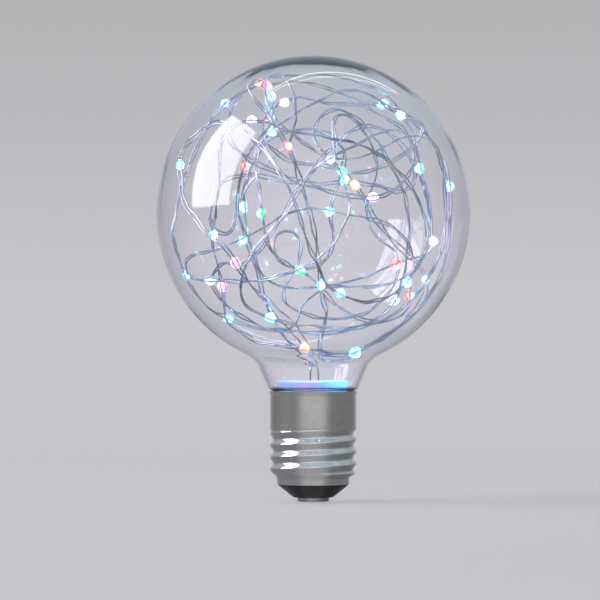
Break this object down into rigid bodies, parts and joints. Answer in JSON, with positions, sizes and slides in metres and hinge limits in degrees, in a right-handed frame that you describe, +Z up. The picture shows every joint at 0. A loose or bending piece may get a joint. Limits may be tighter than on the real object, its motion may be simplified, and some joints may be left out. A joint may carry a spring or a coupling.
{
  "type": "globe bulb",
  "caption": "Clear glass globe lamp with a loose string of small coloured lights inside and a large screw cap that is its mount and contact.",
  "frame": {"origin": "middle of the centre contact's flat underside, on the cap's axis", "axes": "+Z up the bulb's axis from the cap to the top of the globe, -Y towards the side that the picture shows, +X to that side's right"},
  "size_m": [0.095, 0.095, 0.135],
  "materials": {
    "clear_glass": "clear blown soda-lime glass, polished by the fire",
    "plated_cap": "nickel-plated brass, satin",
    "black_insulator": "moulded black, glossy",
    "solder": "solidified solder, satin",
    "capping_cement": "pale cement, matt",
    "white_plug": "moulded white, satin",
    "circuit_board": "green solder mask",
    "black_epoxy": "moulded black epoxy",
    "capacitor_sleeve": "dark sleeve, satin",
    "resistor_lacquer": "lacquered",
    "tinned_lead": "tinned copper",
    "silvered_wire": "bare silvered copper, bright",
    "lamp_chip": "white lamp chip that glows in its own colour",
    "clear_epoxy": "clear epoxy, glossy"
  },
  "bodies": {
    "root": {"board_solder": "solder", "bridge_rectifier": "black_epoxy", "cap_cement": "capping_cement", "cap_insulator": "black_insulator", "capacitor": "capacitor_sleeve", "centre_contact": "plated_cap", "driver_board": "circuit_board", "driver_ic": "black_epoxy", "fuse_resistor": "resistor_lacquer", "glass_globe": "clear_glass", "led_bead_01": "clear_epoxy", "led_bead_02": "clear_epoxy", "led_bead_03": "clear_epoxy", "led_bead_04": "clear_epoxy", "led_bead_05": "clear_epoxy", "led_bead_06": "clear_epoxy", "led_bead_07": "clear_epoxy", "led_bead_08": "clear_epoxy", "led_bead_09": "clear_epoxy", "led_bead_10": "clear_epoxy", "led_bead_11": "clear_epoxy", "led_bead_12": "clear_epoxy", "led_bead_13": "clear_epoxy", "led_bead_14": "clear_epoxy", "led_bead_15": "clear_epoxy", "led_bead_16": "clear_epoxy", "led_bead_17": "clear_epoxy", "led_bead_18": "clear_epoxy", "led_bead_19": "clear_epoxy", "led_bead_20": "clear_epoxy", "led_bead_21": "clear_epoxy", "led_bead_22": "clear_epoxy", "led_bead_23": "clear_epoxy", "led_bead_24": "clear_epoxy", "led_bead_25": "clear_epoxy", "led_bead_26": "clear_epoxy", "led_bead_27": "clear_epoxy", "led_bead_28": "clear_epoxy", "led_bead_29": "clear_epoxy", "led_bead_30": "clear_epoxy", "led_bead_31": "clear_epoxy", "led_bead_32": "clear_epoxy", "led_bead_33": "clear_epoxy", "led_bead_34": "clear_epoxy", "led_bead_35": "clear_epoxy", "led_bead_36": "clear_epoxy", "led_bead_37": "clear_epoxy", "led_bead_38": "clear_epoxy", "led_bead_39": "clear_epoxy", "led_bead_40": "clear_epoxy", "led_bead_41": "clear_epoxy", "led_bead_42": "clear_epoxy", "led_chips": "lamp_chip", "live_lead": "tinned_lead", "neck_plug": "white_plug", "neutral_lead": "tinned_lead", "screw_shell": "plated_cap", "shell_solder": "solder", "string_wire_a": "silvered_wire", "string_wire_b": "silvered_wire"}
  },
  "joints": []
}
